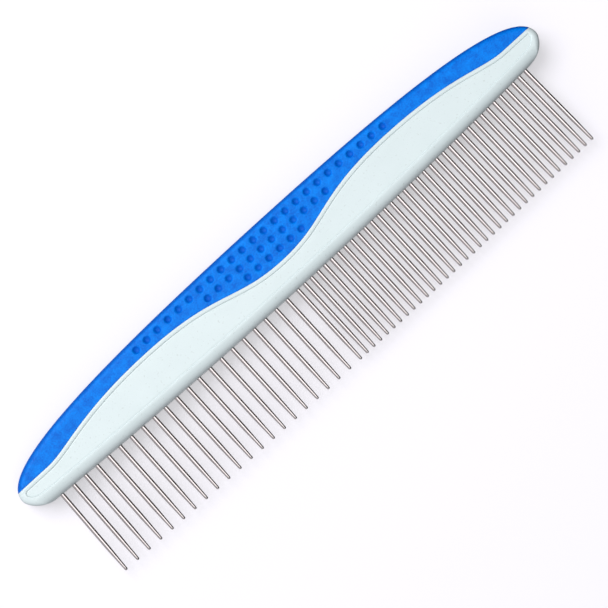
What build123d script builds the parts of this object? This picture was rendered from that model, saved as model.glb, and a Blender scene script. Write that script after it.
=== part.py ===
from build123d import *
import math
import os

# Steel grooming comb: a hard white moulding holds one row of steel pins, coarse at the
# left and fine at the right, and a soft blue grip is moulded over its spine.
# Millimetres. While it is drawn, X runs along the comb, +Y towards the spine, the tooth
# edge's lowest point is Y = 0 and the middle of the thickness is Z = 0.

# Handle
overall_length = 189.0
handle_height = 20.8
handle_thickness = 10.0
edge_radius = 1.8
nose_height = 7.9
spine_crown_pull = 0.75
spine_nose_pull = 0.675
tooth_edge_rise = 2.3
end_corner_length = 6.8
corner_nose_pull = 0.36
corner_edge_pull = 0.58

# Tooth edge: the rounded stretch below the crease, down to the flat land of the pins
crease_height = 2.9
land_width = 3.6
crease_fall = 0.25
roll_fall = 1.1

# Border between grip and handle, as drops below the top of the spine
border_dip_drop = 12.3
border_crest_drop = 6.0
border_end_drop = 10.75
border_crest_x = 43.8
border_knee_inset = 11.0
border_dip_pull = 16.4
border_inner_crest_pull = 25.0
border_outer_crest_pull = 24.4
border_knee_pull = 7.4

# Lip beside the grip, and the sunk panel that it frames
lip_width = 1.0
panel_recess = 0.25
panel_end_margin = 2.0
panel_corner_radius = 2.4

# Soft grip and the tongue inside it
grip_cap = 2.8
grip_wall = 2.0
lock_hole_diameter = 2.2
lock_hole_centres = [0.0, 10.0, 20.0, 66.0, 77.0]

# Thumb dimples
dimple_rows = [24, 12, 6]
dimple_pitch = 3.92
dimple_row_pitch = 3.25
dimple_edge_distance = 2.95
dimple_diameter = 2.2
dimple_depth = 0.7

# Pins
coarse_count = 21
fine_count = 36
coarse_to_fine_pitch = 1.6
row_end_margin = 8.75
pin_diameter = 1.25
root_depth = 7.5
tip_reach = 25.7
tip_line_rise = 1.2
tip_diameter = 0.85
taper_length = 8.0
end_splay_deg = 1.8
root_chamfer = 0.2
groove_depth = 0.12
groove_width = 0.7
groove_places = [1.6, 3.4]

half_length = overall_length / 2
face_z = handle_thickness / 2
corner_x = half_length - end_corner_length
edge_arc_radius = (corner_x**2 + tooth_edge_rise**2) / (2 * tooth_edge_rise)
row_length = overall_length - 2 * row_end_margin
fine_pitch = row_length / (coarse_count * coarse_to_fine_pitch + fine_count - 1)
coarse_pitch = fine_pitch * coarse_to_fine_pitch
pin_length = tip_reach + root_depth
well_clear = handle_height + overall_length
spine_nose_reach = spine_nose_pull * (handle_height - nose_height)
corner_nose_reach = corner_nose_pull * (nose_height - tooth_edge_rise)
spine_nose_radius = 1.5 * spine_nose_reach**2 / ((1 - spine_crown_pull) * half_length)
corner_nose_radius = 1.5 * corner_nose_reach**2 / ((1 - corner_edge_pull) * end_corner_length)
rim_radius = min(edge_radius, 0.9 * spine_nose_radius, 0.9 * corner_nose_radius)


def height_on(curve, x):
    """Height of a curve of four control points at x, found by halving its parameter."""
    low, high = 0.0, 1.0
    for _ in range(40):
        t = (low + high) / 2
        weights = ((1 - t) ** 3, 3 * t * (1 - t) ** 2, 3 * t**2 * (1 - t), t**3)
        at_x = sum(w * point[0] for w, point in zip(weights, curve))
        low, high = (t, high) if at_x < x else (low, t)
    return sum(w * point[1] for w, point in zip(weights, curve))


def spine_curve():
    """Control points of the spine, from the crown to the nose at the right end."""
    return [
        (0, handle_height),
        (spine_crown_pull * half_length, handle_height),
        (half_length, nose_height + spine_nose_reach),
        (half_length, nose_height),
    ]


def corner_curve():
    """Control points of the lower corner, from the nose to the tooth edge."""
    slope = corner_x / (edge_arc_radius - tooth_edge_rise)
    edge_pull = corner_edge_pull * end_corner_length
    return [
        (half_length, nose_height),
        (half_length, nose_height - corner_nose_reach),
        (corner_x + edge_pull, tooth_edge_rise + slope * edge_pull),
        (corner_x, tooth_edge_rise),
    ]


def border_curves():
    """Control points of the border: middle to crest, and crest to the level end."""
    dip = handle_height - border_dip_drop
    crest = handle_height - border_crest_drop
    end = handle_height - border_end_drop
    knee_x = half_length - border_knee_inset
    inner = [
        (0, dip),
        (border_dip_pull, dip),
        (border_crest_x - border_inner_crest_pull, crest),
        (border_crest_x, crest),
    ]
    outer = [
        (border_crest_x, crest),
        (border_crest_x + border_outer_crest_pull, crest),
        (knee_x - border_knee_pull, end),
        (knee_x, end),
    ]
    return inner, outer


def spine_height(x):
    """Height of the spine at x."""
    return height_on(spine_curve(), abs(x))


def border_height(x):
    """Height of the border at x, where it isn't level."""
    inner, outer = border_curves()
    return height_on(inner if abs(x) < border_crest_x else outer, abs(x))


def tooth_edge_height(x):
    """Height of the tooth edge at x: a circular arc, lowest at the middle."""
    return edge_arc_radius - math.sqrt(edge_arc_radius**2 - x**2)


def mirrored(edges):
    """The edges with their mirror images across the middle of the comb."""
    return edges + [mirror(edge, about=Plane.YZ) for edge in edges]


def outline():
    """Closed outline of the handle seen from the front."""
    ends = mirrored([Bezier(spine_curve()), Bezier(corner_curve())])
    edge = ThreePointArc((corner_x, tooth_edge_rise), (0, 0), (-corner_x, tooth_edge_rise))
    return make_face(ends + [edge])


def inset_edge(curve, amount, count):
    """Smooth edge inside a curve of four control points, the same distance from it all along."""
    edge = Bezier(curve)
    stations = [edge @ (i / count) for i in range(count + 1)]
    courses = [edge % (i / count) for i in range(count + 1)]
    return Spline([(p.X + amount * c.Y, p.Y - amount * c.X) for p, c in zip(stations, courses)])


def inner_outline(amount):
    """Closed outline that runs inside the handle's outline, an amount from it."""
    upper = inset_edge(spine_curve(), amount, 16)
    lower = inset_edge(corner_curve(), amount, 8)
    right = lower @ 1
    edge = ThreePointArc(right, (0, amount), (-right.X, right.Y))
    return make_face(mirrored([upper, lower]) + [edge])


def slab(face, thickness):
    """A plan face as a plate, centred on the middle of the handle's thickness."""
    return extrude(face, amount=thickness / 2, both=True)


def blank():
    """The whole handle and grip as one rounded block."""
    block = slab(outline(), handle_thickness)
    rims = block.edges().group_by(Axis.Z)
    return fillet(rims[0] + rims[-1], radius=rim_radius)


def tooth_edge_envelope():
    """A long bar whose section rolls off from the crease to the land of the pins."""
    land = land_width / 2
    roll = Bezier(
        (0, 0, land),
        (0, 0, face_z - roll_fall),
        (0, crease_height / 2, face_z - crease_fall),
        (0, crease_height, face_z),
    )
    back = Polyline(
        (0, crease_height, face_z),
        (0, 2 * handle_height, face_z),
        (0, 2 * handle_height, -face_z),
        (0, crease_height, -face_z),
    )
    front_land = Line((0, 0, -land), (0, 0, land))
    section = make_face([roll, back, mirror(roll, about=Plane.XY), front_land])
    axis = Axis((0, edge_arc_radius, 0), (0, 0, 1))
    half_turn = math.degrees(math.asin(1.1 * half_length / edge_arc_radius))
    bar = revolve(section.rotate(axis, -half_turn), axis=axis, revolution_arc=2 * half_turn)
    return bar


def region_below_border(lowered):
    """Plan face of everything on the tooth side of the border, moved down by an amount."""
    inner, outer = border_curves()
    level = outer[-1]
    side = (1.1 * half_length, level[1])
    edges = mirrored([Bezier(inner), Bezier(outer), Line(level, side)])
    bottom = (side[0], -well_clear)
    frame = Polyline(side, bottom, (-bottom[0], bottom[1]), (-side[0], side[1]))
    return Pos(0, -lowered) * make_face(edges + [frame])


def panel_corner_fillet():
    """Radius of the panel's lower corners, limited by the height of its end wall."""
    level = handle_height - border_end_drop - lip_width
    crease = crease_height + tooth_edge_height(half_length - panel_end_margin)
    return min(panel_corner_radius, 0.7 * (level - crease))


def panel():
    """Plate as deep as the sunk panel: inside the lip, the ends and the crease."""
    inside = inner_outline(panel_end_margin)
    above_crease = Pos(0, edge_arc_radius) * Circle(edge_arc_radius - crease_height)
    face = inside & region_below_border(lip_width) & above_crease
    lower_corners = face.vertices().group_by(Axis.Y)[0]
    return slab(fillet(lower_corners, radius=panel_corner_fillet()), panel_recess)


def lock_centres():
    """Places of the holes through the tongue, on both sides of the middle."""
    right = [x for x in lock_hole_centres if x > 0]
    return [-x for x in reversed(right)] + lock_hole_centres


def tongue():
    """Flat core that runs inside the grip, with the holes that the grip fills."""
    plate = slab(inner_outline(grip_cap), handle_thickness - 2 * grip_wall)
    for x in lock_centres():
        middle = (border_height(x) + spine_height(x) - grip_cap) / 2
        plate -= Pos(x, middle) * Cylinder(lock_hole_diameter / 2, handle_thickness)
    return plate


def pin():
    """One pin, tip down, with its tip at Y = 0: the same part all along the row."""
    r = pin_diameter / 2
    tip = tip_diameter / 2
    ball = tip * math.sqrt(0.5)
    tip_arc = ThreePointArc((0, 0), (ball, tip - ball), (tip, tip))
    side = [(tip, tip), (r, taper_length)]
    for place in sorted(groove_places, reverse=True):
        low = pin_length - place - groove_width / 2
        high = low + groove_width
        waist = r - groove_depth
        side += [(r, low), (waist, low + groove_depth), (waist, high - groove_depth), (r, high)]
    side += [(r, pin_length - root_chamfer), (r - root_chamfer, pin_length), (0, pin_length)]
    profile = make_face([tip_arc, Polyline(side), Line((0, pin_length), (0, 0))])
    return revolve(profile, axis=Axis.Y)


def pin_places():
    """Name and location of every pin, in order from the coarse end."""
    places = []
    x = -row_length / 2
    for number in range(1, coarse_count + fine_count + 1):
        coarse = number <= coarse_count
        name = f"coarse_tooth_{number:02d}" if coarse else f"fine_tooth_{number - coarse_count:02d}"
        share = x / (row_length / 2)
        lean = end_splay_deg * share**3
        tip_y = tip_line_rise * share**2 - tip_reach
        tip_x = x + (tooth_edge_height(x) - tip_y) * math.tan(math.radians(lean))
        places.append((name, Pos(tip_x, tip_y) * Rot(0, 0, lean)))
        x += coarse_pitch if coarse else fine_pitch
    return places


def handle(envelope, pins):
    """Hard moulding: tooth side of the block, lip, sunk panels, tongue and pin seats."""
    below = slab(region_below_border(0), 2 * handle_thickness)
    body = envelope & tooth_edge_envelope() & below
    for side in (-1, 1):
        body -= Pos(0, 0, side * (face_z - panel_recess / 2)) * panel()
    body += tongue()
    return body - pins


def dimple_cutters():
    """Balls that press the dimples into both faces of the grip."""
    radius = ((dimple_diameter / 2) ** 2 + dimple_depth**2) / (2 * dimple_depth)
    lift = face_z + radius - dimple_depth
    balls = []
    for row, count in enumerate(dimple_rows):
        for column in range(count):
            x = (column - (count - 1) / 2) * dimple_pitch
            y = spine_height(x) - dimple_edge_distance - row * dimple_row_pitch
            balls += [Pos(x, y, side * lift) * Sphere(radius) for side in (-1, 1)]
    return balls


def grip(envelope):
    """Soft overmould: spine side of the block, round the tongue, with its dimples."""
    below = slab(region_below_border(0), 2 * handle_thickness)
    skin = envelope - below - tongue()
    return skin - dimple_cutters()


def main():
    """Build every piece and write one file each, with the origin under the middle."""
    os.makedirs("parts", exist_ok=True)
    to_frame = Pos(0, (tip_reach - handle_height) / 2, face_z)
    envelope = blank()
    one_pin = pin()
    pins = [(name, place * one_pin) for name, place in pin_places()]
    pieces = [
        ("white_handle", handle(envelope, [solid for _, solid in pins])),
        ("blue_grip", grip(envelope)),
    ]
    for name, piece in pieces + pins:
        export_step(to_frame * piece, f"parts/{name}.step")
    print(f"coarse pitch {coarse_pitch:.3f}, fine pitch {fine_pitch:.3f}, pins {len(pins)}")


main()
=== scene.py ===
# %% [markdown]
# A steel grooming comb for pets. A hard white moulding holds one row of steel
# pins, coarse at one end and fine at the other, and a soft blue grip is moulded over its
# spine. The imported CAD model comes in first, as a frame that never moves. Every length in
# Blender is in metres, in the CAD model's own axes: X runs along the comb, +Y towards the
# spine, and +Z up from the table that the comb lies on.

# %% Load the frame and keep the size of the CAD model
import bmesh
import bpy
import math
import numpy as np
from mathutils import Matrix, Vector


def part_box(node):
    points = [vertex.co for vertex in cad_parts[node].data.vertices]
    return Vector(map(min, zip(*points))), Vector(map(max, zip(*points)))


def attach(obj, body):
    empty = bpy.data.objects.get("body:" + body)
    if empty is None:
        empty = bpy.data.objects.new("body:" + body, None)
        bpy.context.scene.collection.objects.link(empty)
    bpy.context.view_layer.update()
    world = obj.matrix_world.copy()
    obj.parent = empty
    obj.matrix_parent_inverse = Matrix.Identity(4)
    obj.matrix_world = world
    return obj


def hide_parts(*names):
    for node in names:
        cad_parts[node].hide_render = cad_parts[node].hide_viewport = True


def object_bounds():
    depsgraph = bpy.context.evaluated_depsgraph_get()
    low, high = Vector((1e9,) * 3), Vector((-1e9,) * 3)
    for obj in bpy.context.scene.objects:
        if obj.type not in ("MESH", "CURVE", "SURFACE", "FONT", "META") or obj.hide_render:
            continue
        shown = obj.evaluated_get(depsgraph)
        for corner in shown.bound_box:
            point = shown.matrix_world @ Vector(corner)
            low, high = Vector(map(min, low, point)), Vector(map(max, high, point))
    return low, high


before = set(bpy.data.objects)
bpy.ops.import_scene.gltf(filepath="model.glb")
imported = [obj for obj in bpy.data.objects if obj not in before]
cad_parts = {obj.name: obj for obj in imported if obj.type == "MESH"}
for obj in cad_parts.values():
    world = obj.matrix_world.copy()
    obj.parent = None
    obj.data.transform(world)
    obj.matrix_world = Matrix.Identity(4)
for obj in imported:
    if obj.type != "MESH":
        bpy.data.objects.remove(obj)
cad_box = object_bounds()
print("nodes in the frame:", len(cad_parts))

# %% [markdown]
# Shapes are easier to think about in a drawing's own units, so the comb is drawn in
# millimetres from the lowest point of the tooth edge and the middle of the thickness, and
# one function moves a finished drawing into the frame. The overall sizes are read from
# the CAD boxes. The rest are the sizes that a toolmaker would put on the drawing.

# %% Sizes of the handle, in millimetres
MM = 0.001
handle_low, handle_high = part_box("white_handle")
grip_low, grip_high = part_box("blue_grip")

half_length = handle_high.x / MM
thickness = (handle_high.z - handle_low.z) / MM
face_z = thickness / 2
handle_height = (grip_high.y - handle_low.y) / MM
drawing_origin = np.array([0.0, handle_low.y / MM, handle_low.z / MM + face_z])

nose_height = 7.9
spine_crown_pull = 0.75
spine_nose_pull = 0.675
tooth_edge_rise = 2.3
end_corner_length = 6.8
corner_nose_pull = 0.36
corner_edge_pull = 0.58
edge_radius = 1.8
print(f"handle {2 * half_length:.1f} x {handle_height:.1f} x {thickness:.1f} mm")


def to_frame(points):
    """Drawing points in millimetres as frame points in metres: add the origin, then scale."""
    return (np.asarray(points, float) + drawing_origin) * MM


# %% [markdown]
# The outline of the handle is three kinds of curve. The spine and the lower corner are
# cubic Bezier curves: four control points, of which the middle two pull the curve without
# touching it. The tooth edge is one long circular arc. A curve that is needed as a height
# for any x is sampled finely once and then read back by straight interpolation, which is
# far quicker in numpy than solving the cubic for every vertex.

# %% Curves of the outline and of the border between grip and handle
border_dip_drop = 12.3
border_crest_drop = 6.0
border_end_drop = 10.75
border_crest_x = 43.8
border_knee_inset = 11.0
border_dip_pull = 16.4
border_inner_crest_pull = 25.0
border_outer_crest_pull = 24.4
border_knee_pull = 7.4

knee_x = half_length - border_knee_inset
dip_y = handle_height - border_dip_drop
crest_y = handle_height - border_crest_drop
border_end_y = handle_height - border_end_drop
corner_x = half_length - end_corner_length
edge_arc_radius = (corner_x**2 + tooth_edge_rise**2) / (2 * tooth_edge_rise)


def bezier(points, count=600):
    """Points on a cubic Bezier curve: each control point times its Bernstein weight."""
    t = np.linspace(0.0, 1.0, count)[:, None]
    p = np.array(points, float)
    return (
        (1 - t) ** 3 * p[0] + 3 * t * (1 - t) ** 2 * p[1] + 3 * t**2 * (1 - t) * p[2] + t**3 * p[3]
    )


def tooth_edge_y(x):
    """Height of the tooth edge: radius minus the square root of radius squared less x squared."""
    return edge_arc_radius - np.sqrt(edge_arc_radius**2 - np.asarray(x, float) ** 2)


nose_reach = spine_nose_pull * (handle_height - nose_height)
corner_reach = corner_nose_pull * (nose_height - tooth_edge_rise)
edge_slope = corner_x / (edge_arc_radius - tooth_edge_rise)
edge_pull = corner_edge_pull * end_corner_length

spine = bezier([
    (0, handle_height),
    (spine_crown_pull * half_length, handle_height),
    (half_length, nose_height + nose_reach),
    (half_length, nose_height),
])
corner = bezier([
    (half_length, nose_height),
    (half_length, nose_height - corner_reach),
    (corner_x + edge_pull, tooth_edge_rise + edge_slope * edge_pull),
    (corner_x, tooth_edge_rise),
])
inner_border = bezier([
    (0, dip_y),
    (border_dip_pull, dip_y),
    (border_crest_x - border_inner_crest_pull, crest_y),
    (border_crest_x, crest_y),
])
outer_border = bezier([
    (border_crest_x, crest_y),
    (border_crest_x + border_outer_crest_pull, crest_y),
    (knee_x - border_knee_pull, border_end_y),
    (knee_x, border_end_y),
])
border = np.vstack([inner_border, outer_border[1:], [(half_length, border_end_y)]])


def spine_y(x):
    """Height of the spine at x, the same on both halves."""
    return np.interp(np.abs(x), spine[:, 0], spine[:, 1])


def border_y(x):
    """Height at x of the border between the grip and the white handle."""
    return np.interp(np.abs(x), border[:, 0], border[:, 1])


def lower_y(x):
    """Height of the lower outline at x: the arc of the tooth edge, then the corner."""
    on_corner = np.interp(np.abs(x), corner[::-1, 0], corner[::-1, 1])
    return np.where(np.abs(x) < corner_x, tooth_edge_y(np.minimum(np.abs(x), corner_x)), on_corner)


grip_end_x = float(np.interp(-border_end_y, -spine[:, 1], spine[:, 0]))
print(f"border: dip {dip_y:.1f}, crest {crest_y:.1f}; grip ends at x = {grip_end_x:.2f} mm")

# %% [markdown]
# Seen from the front, each piece is a height field: for every point of its plan there is
# one half thickness, and the back is its mirror image. The rim of a real moulding is a
# quarter round, because a sharp rim would hurt the hand, and its height depends only on
# how far the point is from the outline. So the one thing to work out is that distance:
# the nearest of the outline's samples, then the nearest point on the two short straight
# pieces beside it.

# %% Distance to the outline
edge_sample_count = 900
points_at_once = 4000
edge_samples = np.linspace(corner_x, -corner_x, edge_sample_count)
arc = np.column_stack([edge_samples, tooth_edge_y(edge_samples)])
right_end = np.vstack([spine[::2], corner[1::3], [corner[-1]]])
left_end = right_end[::-1] * [-1, 1]
outline = np.vstack([right_end, arc[1:-1], left_end[:-1]])


def distance_to_segment(points, start, end):
    """Distance from points to segments: drop a perpendicular, held between the two ends."""
    along = end - start
    share = np.sum((points - start) * along, 1) / np.maximum(np.sum(along**2, 1), 1e-12)
    foot = start + np.clip(share, 0, 1)[:, None] * along
    return np.linalg.norm(points - foot, axis=1)


def outline_distance(x, y):
    """Distance inside the outline: nearest sample first, then its two neighbouring segments."""
    points = np.column_stack([np.ravel(x), np.ravel(y)])
    nearest = np.empty(len(points), int)
    for first in range(0, len(points), points_at_once):
        part = points[first : first + points_at_once]
        gaps = (part[:, :1] - outline[:, 0]) ** 2 + (part[:, 1:] - outline[:, 1]) ** 2
        nearest[first : first + points_at_once] = np.argmin(gaps, 1)
    here = outline[nearest]
    before = outline[nearest - 1]
    after = outline[(nearest + 1) % len(outline)]
    distance = np.minimum(
        distance_to_segment(points, before, here), distance_to_segment(points, here, after)
    )
    return distance.reshape(np.shape(x))


print("outline samples:", len(outline))

# %% [markdown]
# The section has two shapes that meet: the quarter round of the rim, and below the crease
# a longer, flatter roll down to the narrow land that the pins stand in. A piece is as thick
# as the lower of the two at each point, which is how two cutters would leave it.

# %% Half thickness of the rounded block
crease_height = 2.9
land_half_width = 1.8
crease_fall = 0.25
roll_fall = 1.1

roll = bezier([
    (0, land_half_width),
    (0, face_z - roll_fall),
    (crease_height / 2, face_z - crease_fall),
    (crease_height, face_z),
])


def rim_height(distance):
    """Quarter round: face less radius, plus the root of radius squared less inset squared."""
    inset = np.clip(edge_radius - distance, 0, edge_radius)
    return face_z - edge_radius + np.sqrt(edge_radius**2 - inset**2)


def roll_distance(x, y):
    """Distance above the tooth edge: the arc's radius less the distance to the arc's centre."""
    return edge_arc_radius - np.hypot(x, y - edge_arc_radius)


def block_height(x, y, distance):
    """The lower of the rim's quarter round and the roll-off above the tooth edge."""
    roll_off = np.interp(roll_distance(x, y), roll[:, 0], roll[:, 1])
    return np.minimum(rim_height(distance), roll_off)


def smooth_step(value):
    """Rises from 0 to 1 as the value does, level at both ends: 3 v squared less 2 v cubed."""
    v = np.clip(value, 0, 1)
    return v * v * (3 - 2 * v)


def rounded_inside(a, b, radius):
    """Depth inside two edges with a round corner: radius less the length of the two shortfalls."""
    return radius - np.hypot(np.maximum(radius - a, 0), np.maximum(radius - b, 0))


print(f"roll-off: {crease_height} mm high, down to {land_half_width} mm half thickness")

# %% [markdown]
# Both pieces are built the same way. A grid of points covers the front: columns run along
# the comb and crowd together towards its ends, and rows run from the upper boundary to the
# lower one and crowd together where the section turns quickly. The loop of one column goes
# down the front, through the lower wall, up the back and through the upper wall, so the
# piece is a closed tube that is pinched shut at both ends. Merging the points that fall on
# one another closes the pinch.

# %% Build a closed piece from its front face
wall_steps = 6
sharp_angle = math.radians(50)
merge_distance = 1e-7
thin_edge = 1e-8
room_for_middle_rows = 1.1


def columns(end_x, stretches, end_count):
    """Places along the comb: even steps to each reach, then steps that shrink towards the end."""
    right = [0.0]
    for reach, step in stretches:
        count = round((reach - right[-1]) / step)
        right += list(np.linspace(right[-1], reach, count + 1)[1:])
    share = np.linspace(1, 0, end_count + 1)[1:]
    half = np.array(right + list(end_x - (end_x - right[-1]) * share**2))
    return np.concatenate([-half[:0:-1], half])


def rows(top, bottom, from_top, from_bottom, middle_count):
    """Heights down each column: given gaps at both ends, shrunk where it is short, even between."""
    needed = room_for_middle_rows * (from_top[-1] + from_bottom[-1])
    shrink = np.minimum(1, (top - bottom) / needed)
    upper = top - np.outer(from_top, shrink)
    lower = bottom + np.outer(from_bottom[::-1], shrink)
    share = np.linspace(0, 1, middle_count + 2)[1:-1, None]
    return np.vstack([upper, upper[-1] * (1 - share) + lower[0] * share, lower])


def closed_piece(name, x, y, z):
    """Closed mesh from grids of x, y and half thickness, whose rows run from top to bottom."""
    share = np.linspace(1, -1, wall_steps + 1)[1:-1, None]
    lower_wall = [np.broadcast_to(g[-1], (wall_steps - 1, g.shape[1])) for g in (x, y)]
    upper_wall = [np.broadcast_to(g[0], (wall_steps - 1, g.shape[1])) for g in (x, y)]
    loop_x = np.vstack([x, lower_wall[0], x[::-1], upper_wall[0]])
    loop_y = np.vstack([y, lower_wall[1], y[::-1], upper_wall[1]])
    loop_z = np.vstack([z, share * z[-1], -z[::-1], -share * z[0]])
    points = to_frame(np.stack([loop_x, loop_y, loop_z], -1).reshape(-1, 3))
    index = np.arange(loop_x.size).reshape(loop_x.shape)
    below = np.roll(index, -1, 0)
    quads = np.stack([index[:, :-1], below[:, :-1], below[:, 1:], index[:, 1:]], -1).reshape(-1, 4)
    return mesh_object(name, points, quads)


def mesh_object(name, points, quads):
    """Mesh object from arrays of points and quads, with doubles merged and shaded smooth."""
    mesh = bpy.data.meshes.new(name)
    mesh.vertices.add(len(points))
    mesh.vertices.foreach_set("co", points.astype(np.float32).ravel())
    mesh.loops.add(quads.size)
    mesh.loops.foreach_set("vertex_index", quads.astype(np.int32).ravel())
    mesh.polygons.add(len(quads))
    mesh.polygons.foreach_set("loop_start", np.arange(0, quads.size, 4, dtype=np.int32))
    mesh.update(calc_edges=True)
    close_seams(mesh)
    mesh.polygons.foreach_set("use_smooth", np.ones(len(mesh.polygons), bool))
    mesh.set_sharp_from_angle(angle=sharp_angle)
    piece = bpy.data.objects.new(name, mesh)
    bpy.context.scene.collection.objects.link(piece)
    return piece


def close_seams(mesh):
    """Merge points within a ten-thousandth of a millimetre, and drop faces with no area."""
    shape = bmesh.new()
    shape.from_mesh(mesh)
    bmesh.ops.remove_doubles(shape, verts=shape.verts, dist=merge_distance)
    bmesh.ops.dissolve_degenerate(shape, edges=shape.edges, dist=thin_edge)
    volume = shape.calc_volume(signed=True) / MM**3
    open_edges = sum(1 for edge in shape.edges if len(edge.link_faces) != 2)
    shape.to_mesh(mesh)
    shape.free()
    print(f"{mesh.name}: {len(mesh.polygons)} faces, {volume:.0f} mm3, open edges {open_edges}")


print("steps across each side wall:", wall_steps)

# %% [markdown]
# The white handle is injection moulded in hard ABS plastic. Beside the grip it has a lip
# one millimetre wide, slightly crowned so that it catches the light. Below the lip the
# face is sunk by a quarter of a millimetre, and it rises again at a crease before it rolls
# off to the row of pins. A bevelled box would lose all of this, so the section is written
# out as one height, from which the sunk panel and the groove beside the grip are taken.

# %% White handle
lip_width = 1.0
lip_crown = 0.08
panel_recess = 0.25
panel_wall = 0.2
panel_end_margin = 2.0
panel_corner_radius = 2.4
panel_lip_radius = 0.5
foot_groove_depth = 0.07
foot_groove_place = 0.3
foot_groove_width = 0.12
border_groove_depth = 0.08
border_groove_width = 0.12
column_step = 0.6
even_columns_reach = 84.0
handle_end_columns = 90
handle_middle_rows = 22
recess_rows = 15
recess_rows_reach = 0.56
crease_rows_start = 0.03
crease_rows_reach = 0.58
roll_sample_step = 40


def border_groove(gap):
    """Drop beside the border: the square of the share of the groove's width that is left."""
    return border_groove_depth * (1 - np.clip(gap / border_groove_width, 0, 1)) ** 2


def sunk_panel(x, y, distance):
    """Recess depth: a smooth step of the depth inside its edges, plus a bell curve at its foot."""
    above_crease = roll_distance(x, y) - crease_height
    below_lip = border_y(x) - y - lip_width
    inside = rounded_inside(above_crease, distance - panel_end_margin, panel_corner_radius)
    inside = rounded_inside(inside, below_lip, panel_lip_radius)
    foot = np.exp(-(((inside - foot_groove_place) / foot_groove_width) ** 2))
    return panel_recess * smooth_step(inside / panel_wall) + foot_groove_depth * foot


def lip_shape(gap):
    """Drop across the lip: nothing along its middle, growing as the square towards its sides."""
    across = np.clip(2 * gap / lip_width - 1, -1, 1)
    return lip_crown * np.where(gap < lip_width, across**2, 0)


def make_handle():
    """Half thickness of the block, less the lip's crown, the border groove and the sunk panel."""
    along = columns(half_length, [(even_columns_reach, column_step)], handle_end_columns)
    top = np.minimum(border_y(along), spine_y(along))
    lip_rows = np.array([0, 0.04, 0.08, 0.12, 0.2, 0.35, 0.5, 0.65, 0.8, 0.9, 0.96])
    step_rows = lip_width + np.linspace(0, recess_rows_reach, recess_rows)
    roll_rows = roll[::roll_sample_step, 0]
    crease_rows = crease_height + np.linspace(crease_rows_start, crease_rows_reach, recess_rows)
    from_top = np.concatenate([lip_rows, step_rows])
    from_bottom = np.concatenate([roll_rows, crease_rows])
    y = rows(top, lower_y(along), from_top, from_bottom, handle_middle_rows)
    x = np.broadcast_to(along, y.shape)
    distance = outline_distance(x, y)
    distance[-1] = 0
    distance[0, np.abs(along) > grip_end_x] = 0
    gap = border_y(x) - y
    z = block_height(x, y, distance) - sunk_panel(x, y, distance) - border_groove(gap)
    return closed_piece("handle_shell", x, y, z - lip_shape(gap))


handle = make_handle()
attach(handle, "root")
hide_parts("white_handle")

# %% [markdown]
# The grip is a soft thermoplastic rubber, moulded over the handle's tongue in a second
# shot, so that it meets the handle flush along a wavy border. Its three rows of shallow
# dimples are ball shaped. On a real tool they are polished spheres sunk into the mould, so
# here each one is the formula of a sphere, and its rim is eased by a smooth maximum,
# because rubber never fills a sharp edge.

# %% Blue grip with its dimples
dimple_counts = [24, 12, 6]
dimple_pitch = 3.92
dimple_row_pitch = 3.25
dimple_edge_distance = 2.95
dimple_radius = 1.1
dimple_depth = 0.7
dimple_rim_ease = 0.08
ball_side_fade = 0.2
dimple_column_step = 0.22
dimple_columns_reach = 47.5
grip_end_columns = 50
grip_rim_rows = 12
grip_middle_rows = 44
ball_radius = (dimple_radius**2 + dimple_depth**2) / (2 * dimple_depth)


def dimple_centres():
    """Centres row by row: evenly spaced about the middle, each row a step below the spine."""
    centres = []
    for row, count in enumerate(dimple_counts):
        x = (np.arange(count) - (count - 1) / 2) * dimple_pitch
        y = spine_y(x) - dimple_edge_distance - row * dimple_row_pitch
        centres.append(np.column_stack([x, y]))
    return np.vstack(centres)


def dimple_press(x, y):
    """Depth of the nearest ball's cap below the face, eased by a smooth maximum at the rim."""
    away = np.full(x.shape, np.inf)
    for centre in dimple_centres():
        away = np.minimum(away, np.hypot(x - centre[0], y - centre[1]))
    cap = dimple_depth - ball_radius + np.sqrt(np.maximum(ball_radius**2 - away**2, 0))
    eased = (cap + np.sqrt(cap**2 + dimple_rim_ease**2)) / 2
    return eased * smooth_step((ball_radius - away) / ball_side_fade)


def make_grip():
    """Half thickness of the block, less the border groove and the dimples."""
    stretches = [(dimple_columns_reach, dimple_column_step), (even_columns_reach, column_step)]
    along = columns(grip_end_x, stretches, grip_end_columns)
    turn = np.linspace(0, math.pi / 2, grip_rim_rows)
    from_top = edge_radius * (1 - np.cos(turn))
    from_bottom = np.array([0, 0.04, 0.08, 0.12, 0.2])
    y = rows(spine_y(along), border_y(along), from_top, from_bottom, grip_middle_rows)
    x = np.broadcast_to(along, y.shape)
    distance = outline_distance(x, y)
    distance[0] = 0
    distance[:, [0, -1]] = 0
    z = block_height(x, y, distance) - border_groove(y - border_y(x)) - dimple_press(x, y)
    return closed_piece("grip_overmould", x, y, z)


grip = make_grip()
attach(grip, "root")
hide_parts("blue_grip")
print("dimples on each face:", len(dimple_centres()))

# %% [markdown]
# A material in Blender is a small graph of nodes. Colours are picked as sRGB hex values,
# the way a paint program shows them, but the renderer adds light in linear numbers, so
# one function converts them. Another adds any node with its settings and links, which
# keeps each finish to a few lines.

# %% Helpers for colours and nodes
def linear(hex_colour):
    """Linear colour of an sRGB hex value: divide by 12.92 when dark, else the 2.4 power."""
    codes = [int(hex_colour[i : i + 2], 16) / 255 for i in (1, 3, 5)]
    parts = [c / 12.92 if c <= 0.04045 else ((c + 0.055) / 1.055) ** 2.4 for c in codes]
    return (*parts, 1.0)


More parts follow.
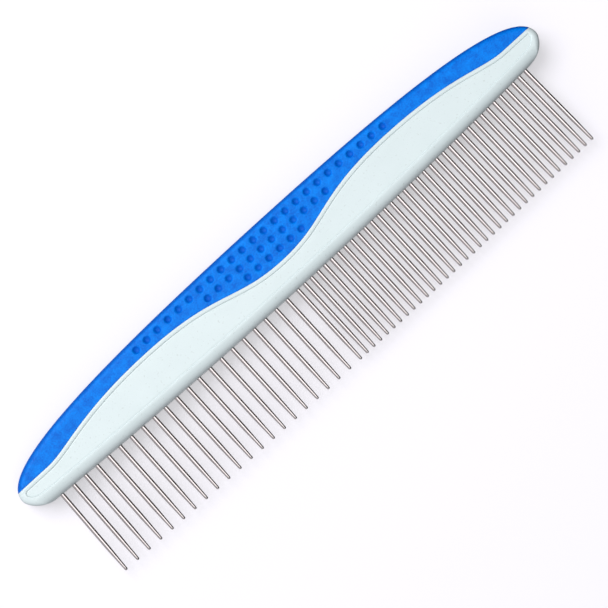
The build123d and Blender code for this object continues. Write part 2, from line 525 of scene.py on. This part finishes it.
def add(tree, kind, settings=None, inputs=None):
    """Add a node, set its settings, and give each input a value or a link from a socket."""
    made = tree.nodes.new("ShaderNode" + kind)
    for name, value in (settings or {}).items():
        setattr(made, name, value)
    for name, value in (inputs or {}).items():
        if isinstance(value, bpy.types.NodeSocket):
            tree.links.new(value, made.inputs[name])
        else:
            made.inputs[name].default_value = value
    return made


def new_material(name):
    """Empty node material, with its output node and Object coordinates."""
    material = bpy.data.materials.new(name)
    material.use_nodes = True
    tree = material.node_tree
    tree.nodes.clear()
    output = add(tree, "OutputMaterial")
    coordinates = add(tree, "TexCoord").outputs["Object"]
    return material, tree, output, coordinates


def per_mm(size):
    """Noise scale for a grain of a size in millimetres: one over the size in metres."""
    return 1 / (size * MM)


print("mid grey #808080 in linear light:", round(linear("#808080")[0], 3))

# %% [markdown]
# The handle is ABS, injection moulded in a satin tool. That gives the eye a soft, broad
# highlight, and a faint unevenness of tone where the plastic flowed. ABS has an IOR of
# about 1.54. The tool's spark-eroded grain is about a twentieth of a millimetre, too fine
# for this render, so it is drawn at a fifth of a millimetre.

# %% Moulded ABS for the handle
def moulded_abs():
    """Two close tones of white mixed by cloudy noise, with sparse specks and a fine grain."""
    material, tree, output, place = new_material("moulded_abs_white")
    cloud = add(tree, "TexNoise", inputs={"Vector": place, "Scale": per_mm(9), "Detail": 3.0})
    tone = add(tree, "Mix", {"data_type": "RGBA"}, {
        "Factor": cloud.outputs["Fac"], 6: linear("#CFDCDD"), 7: linear("#D9E5E6"),
    })
    speck = add(tree, "TexNoise", inputs={"Vector": place, "Scale": per_mm(0.6), "Detail": 1.0})
    sparse = add(tree, "MapRange", inputs={
        "Value": speck.outputs["Fac"], "From Min": 0.66, "From Max": 0.76, "To Max": 0.5,
    })
    colour = add(tree, "Mix", {"data_type": "RGBA"}, {
        "Factor": sparse.outputs["Result"], 6: tone.outputs[2], 7: linear("#BAC4C2"),
    })
    grain = add(tree, "TexNoise", inputs={"Vector": place, "Scale": per_mm(0.2), "Detail": 2.0})
    bump = add(tree, "Bump", inputs={
        "Height": grain.outputs["Fac"], "Strength": 0.35, "Distance": 0.02 * MM,
    })
    gloss = add(tree, "MapRange", inputs={
        "Value": cloud.outputs["Fac"], "To Min": 0.32, "To Max": 0.42,
    })
    shader = add(tree, "BsdfPrincipled", inputs={
        "Base Color": colour.outputs[2],
        "Roughness": gloss.outputs["Result"],
        "Normal": bump.outputs["Normal"],
        "IOR": 1.54,
    })
    tree.links.new(shader.outputs["BSDF"], output.inputs["Surface"])
    return material


handle.data.materials.append(moulded_abs())
print("handle finish:", handle.data.materials[0].name)

# %% [markdown]
# The grip is a thermoplastic rubber. It is duller than the handle, because its tool is
# blasted to a matt grain that hides finger marks, and its colour wanders a little where
# the grain holds dust. In the dimples and round the rim the blue is painted darker, as
# painted shade where the surface falls below the face: it starts an eighth of a millimetre
# below the face and is full at half a millimetre. Rubber has an IOR of about 1.5, but
# blasted rubber shows little gloss, so its specular level is low. Blasting leaves grains of
# about a tenth of a millimetre, which are drawn at half a millimetre so that they show.

# %% Overmoulded rubber for the grip
# Painted shade on the grip: the depths below the face where it starts and where it is full, and how
# dark it gets.
shade_start_depth = 0.12
shade_full_depth = 0.5
painted_shade_strength = 0.7


def blasted_rubber():
    """Two blues mixed by cloudy noise and a pebbled grain, with painted shade where the surface is
    sunk.
    """
    material, tree, output, place = new_material("overmoulded_rubber_blue")
    cloud = add(tree, "TexNoise", inputs={"Vector": place, "Scale": per_mm(2.5), "Detail": 3.0})
    grain = add(tree, "TexNoise", inputs={"Vector": place, "Scale": per_mm(0.5), "Detail": 2.0})
    blend = add(tree, "Math", {"operation": "MULTIPLY_ADD"}, {
        0: grain.outputs["Fac"], 1: 0.8, 2: cloud.outputs["Fac"],
    })
    share = add(tree, "MapRange", inputs={
        "Value": blend.outputs["Value"], "From Min": 0.65, "From Max": 1.15,
    })
    colour = add(tree, "Mix", {"data_type": "RGBA"}, {
        "Factor": share.outputs["Result"], 6: linear("#0064CE"), 7: linear("#0084F0"),
    })
    # Painted shade: the blue is mixed towards a darker blue as the surface falls below the face, in
    # the dimples and round the rim.
    axes = add(tree, "SeparateXYZ", inputs={"Vector": place})
    height = add(tree, "Math", {"operation": "SUBTRACT"}, {0: axes.outputs["Z"], 1: face_z * MM})
    half = add(tree, "Math", {"operation": "ABSOLUTE"}, {0: height.outputs["Value"]})
    shade_share = add(tree, "MapRange", inputs={
        "Value": half.outputs["Value"],
        "From Min": (face_z - shade_start_depth) * MM,
        "From Max": (face_z - shade_full_depth) * MM,
        "To Min": 0.0,
        "To Max": painted_shade_strength,
    })
    shaded_colour = add(tree, "Mix", {"data_type": "RGBA"}, {
        "Factor": shade_share.outputs["Result"], 6: colour.outputs[2], 7: linear("#0052B8"),
    })
    bump = add(tree, "Bump", inputs={
        "Height": grain.outputs["Fac"], "Strength": 0.5, "Distance": 0.04 * MM,
    })
    gloss = add(tree, "MapRange", inputs={
        "Value": cloud.outputs["Fac"], "To Min": 0.4, "To Max": 0.5,
    })
    shader = add(tree, "BsdfPrincipled", inputs={
        "Base Color": shaded_colour.outputs[2],
        "Roughness": gloss.outputs["Result"],
        "Normal": bump.outputs["Normal"],
        "IOR": 1.5,
        "Specular IOR Level": 0.1,
    })
    tree.links.new(shader.outputs["BSDF"], output.inputs["Surface"])
    return material


grip.data.materials.append(blasted_rubber())
print("grip finish:", grip.data.materials[0].name)

# %% [markdown]
# Each pin is a length of steel wire, ground to a taper at its lower end and rounded at its
# tip, and the handle is moulded round its upper end. A cylinder from Blender's menu has flat
# sides, and polished steel shows every one of them, so a pin is turned as on a lathe: a
# profile of radius against height, carried once round the axis. The pins lean outwards a
# little towards both ends of the row, and their tips follow a shallow curve.

# %% Shape of one pin
coarse_count = 21
fine_count = 36
coarse_to_fine_pitch = 1.6
row_end_margin = 8.75
pin_radius = 0.625
tip_radius = 0.425
taper_length = 8.0
root_depth = 7.5
root_chamfer = 0.2
tip_reach = 25.7
tip_line_rise = 1.2
end_splay = math.radians(1.8)
around_pin = 40
ball_rings = 9
taper_rings = 9
wire_rings = 11

row_length = 2 * (half_length - row_end_margin)
fine_pitch = row_length / (coarse_count * coarse_to_fine_pitch + fine_count - 1)
coarse_pitch = fine_pitch * coarse_to_fine_pitch


def pin_profile():
    """Radius and height from the tip up: half a ball, the taper, the wire, and a chamfer."""
    turn = np.linspace(0, math.pi / 2, ball_rings)
    ball = np.column_stack([tip_radius * np.sin(turn), tip_radius * (1 - np.cos(turn))])
    share = np.linspace(0, 1, taper_rings)[1:, None]
    taper = ball[-1] + share * ([pin_radius, taper_length] - ball[-1])
    top = tip_reach + root_depth
    wire_height = np.linspace(taper_length, top - root_chamfer, wire_rings)[1:]
    wire = np.column_stack([np.full(wire_height.shape, pin_radius), wire_height])
    end = [(pin_radius - root_chamfer, top), (0.0, top)]
    return np.vstack([ball, taper, wire, end])


def turned_pin(name, tip, lean):
    """Profile carried round the pin's own axis, turned by the lean and set on its tip."""
    radius, height = pin_profile().T
    angle = np.linspace(0, 2 * math.pi, around_pin, endpoint=False)
    x = radius[:, None] * np.cos(angle)
    z = radius[:, None] * np.sin(angle)
    y = np.broadcast_to(height[:, None], x.shape)
    leaned_x = tip[0] + x * math.cos(lean) - y * math.sin(lean)
    leaned_y = tip[1] + x * math.sin(lean) + y * math.cos(lean)
    points = to_frame(np.stack([leaned_x, leaned_y, z], -1).reshape(-1, 3))
    index = np.arange(x.size).reshape(x.shape)
    beside = np.roll(index, -1, 1)
    quads = np.stack([index[:-1], index[1:], beside[1:], beside[:-1]], -1).reshape(-1, 4)
    return mesh_object(name, points, quads)


def pin_rows():
    """Node, tip and lean of each pin: even steps, and a lean that grows as the share cubed."""
    number = np.arange(coarse_count + fine_count)
    coarse_steps = np.minimum(number, coarse_count) * coarse_pitch
    fine_steps = np.maximum(number - coarse_count, 0) * fine_pitch
    x = coarse_steps + fine_steps - row_length / 2
    share = x / (row_length / 2)
    lean = end_splay * share**3
    tip_y = tip_line_rise * share**2 - tip_reach
    tip_x = x + (tooth_edge_y(x) - tip_y) * np.tan(lean)
    coarse = [f"coarse_tooth_{i + 1:02d}" for i in range(coarse_count)]
    fine = [f"fine_tooth_{i + 1:02d}" for i in range(fine_count)]
    return list(zip(coarse + fine, zip(tip_x, tip_y), lean))


print(f"coarse pitch {coarse_pitch:.2f} mm, fine pitch {fine_pitch:.2f} mm")

# %% All the pins
pins = []
for node, tip, lean in pin_rows():
    pin = turned_pin(node.replace("tooth", "pin"), tip, lean)
    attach(pin, "root")
    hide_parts(node)
    pins.append(pin)
print("pins:", len(pins))

# %% [markdown]
# The wire is stainless steel, polished along its length on a belt. A metal keeps its
# default IOR and takes its look from what it mirrors, so the finish is only a warm grey, a
# low roughness, and fine scratches along the pin. Noise that is stretched along the pin draws
# them. Real scratches are about a hundredth of a millimetre wide, too fine for this render,
# so they are drawn an eighth of a millimetre wide.

# %% Polished steel for the pins
scratch_stretch = 80


def polished_wire():
    """Steel with fine lengthwise scratches: noise stretched along the pin."""
    material, tree, output, place = new_material("polished_stainless_wire")
    squeeze = (1.0, 1 / scratch_stretch, 1.0)
    stretched = add(tree, "Mapping", inputs={"Vector": place, "Scale": squeeze})
    lines = add(tree, "TexNoise", inputs={
        "Vector": stretched.outputs["Vector"], "Scale": per_mm(0.12), "Detail": 2.0,
    })
    tone = add(tree, "Mix", {"data_type": "RGBA"}, {
        "Factor": lines.outputs["Fac"], 6: linear("#B4ACAB"), 7: linear("#C4BDBC"),
    })
    gloss = add(tree, "MapRange", inputs={
        "Value": lines.outputs["Fac"], "To Min": 0.07, "To Max": 0.15,
    })
    bump = add(tree, "Bump", inputs={
        "Height": lines.outputs["Fac"], "Strength": 0.1, "Distance": 0.001 * MM,
    })
    shader = add(tree, "BsdfPrincipled", inputs={
        "Base Color": tone.outputs[2],
        "Metallic": 1.0,
        "Roughness": gloss.outputs["Result"],
        "Normal": bump.outputs["Normal"],
    })
    tree.links.new(shader.outputs["BSDF"], output.inputs["Surface"])
    return material


steel = polished_wire()
for pin in pins:
    pin.data.materials.append(steel)
print("pin finish:", steel.name)

# %% [markdown]
# The comb lies on a plain white sweep. A product photographer keeps the paper white for
# the lens, and keeps the surroundings greyer for the object, so that bright metal has
# something dark to mirror and its edges read. The floor does the same: the camera sees
# white paper with soft shadows, and every other ray sees grey.

# %% Floor
floor_half_width = 4.0
paper_glow = 0.45


def studio_paper():
    """Diffuse white for the camera's own rays, and a diffuse grey for all others."""
    material, tree, output, _ = new_material("studio_paper")
    white = add(tree, "BsdfPrincipled", inputs={
        "Base Color": linear("#BFBCC4"),
        "Roughness": 1.0,
        "Specular IOR Level": 0.0,
        "Emission Color": linear("#FFFFFF"),
        "Emission Strength": paper_glow,
    })
    grey = add(tree, "BsdfDiffuse", inputs={"Color": linear("#5E5C60")})
    ray = add(tree, "LightPath").outputs["Is Camera Ray"]
    seen = add(tree, "MixShader", inputs={
        "Fac": ray, 1: grey.outputs["BSDF"], 2: white.outputs["BSDF"],
    })
    tree.links.new(seen.outputs["Shader"], output.inputs["Surface"])
    return material


paper = bpy.data.meshes.new("floor")
corners = np.array([(-1, -1), (1, -1), (1, 1), (-1, 1)]) * floor_half_width
paper.from_pydata([(x, y, cad_box[0][2]) for x, y in corners], [], [(0, 1, 2, 3)])
floor = bpy.data.objects.new("floor", paper)
bpy.context.scene.collection.objects.link(floor)
paper.materials.append(studio_paper())
floor.visible_glossy = False
print("floor height in metres:", round(cad_box[0][2], 4))

# %% [markdown]
# Two soft boxes light the comb. The large one leans in from the spine side, which darkens
# the upper wall of each dimple and brightens the lower one. The narrow one stands on the
# right and draws the bright line down every pin. The world fills the rest: pale on the
# left, and dark beyond the strip on the right, as if a black card stood there, so that
# each pin has a dark edge.

# %% Lights
def soft_box(name, place, width, length, watts):
    """White area light at a place, turned to face the comb, with its length along Y."""
    lamp = bpy.data.lights.new(name, "AREA")
    lamp.shape = "RECTANGLE"
    lamp.size = width
    lamp.size_y = length
    lamp.energy = watts
    made = bpy.data.objects.new(name, lamp)
    made.location = place
    made.rotation_euler = (-Vector(place)).to_track_quat("-Z", "Y").to_euler()
    bpy.context.scene.collection.objects.link(made)
    print(f"{name}: {watts} W, {width} x {length} m")


soft_box("spine_side_box", (-0.2, 0.4, 0.72), width=0.6, length=0.5, watts=4.9)
soft_box("right_strip_box", (0.14, -0.02, 0.69), width=0.22, length=0.7, watts=1.1)

world = bpy.data.worlds.new("studio")
world.use_nodes = True
sky = world.node_tree
sky.nodes.clear()
across = add(sky, "SeparateXYZ", inputs={"Vector": add(sky, "TexCoord").outputs["Generated"]})
dimmed = add(sky, "MapRange", {"interpolation_type": "SMOOTHSTEP"}, {
    "Value": across.outputs["X"],
    "From Min": 0.1,
    "From Max": 0.3,
    "To Min": 0.68,
    "To Max": 0.01,
})
glow = add(sky, "Background", inputs={
    "Color": linear("#FAFAFF"), "Strength": dimmed.outputs["Result"],
})
add(sky, "OutputWorld", inputs={"Surface": glow.outputs["Background"]})
bpy.context.scene.world = world
bpy.context.scene.view_settings.view_transform = "Standard"

# %% [markdown]
# The camera looks almost straight down from half a metre with a long lens, so the comb is
# nearly a plan view. It leans a few degrees, and so the near end comes out a trace larger. Its
# turn about its own axis sets the comb on the diagonal.

# %% Camera
camera_distance = 0.5
camera_lens = 108.8
camera_aim = Vector(to_frame((-3.12, -4.06, 0.0)))
lean_about_x = math.radians(1.33)
lean_about_y = math.radians(-4.85)
diagonal = math.radians(42.66)

leans = Matrix.Rotation(lean_about_y, 4, "Y") @ Matrix.Rotation(lean_about_x, 4, "X")
turn = leans @ Matrix.Rotation(-diagonal, 4, "Z")
back_off = Matrix.Translation((0, 0, camera_distance))
eye = bpy.data.cameras.new("camera")
eye.sensor_width = 36.0
eye.lens = camera_lens
camera = bpy.data.objects.new("camera", eye)
camera.matrix_world = Matrix.Translation(camera_aim) @ turn @ back_off
bpy.context.scene.collection.objects.link(camera)
bpy.context.scene.camera = camera
print(f"camera {camera_distance} m away, {camera_lens} mm lens")
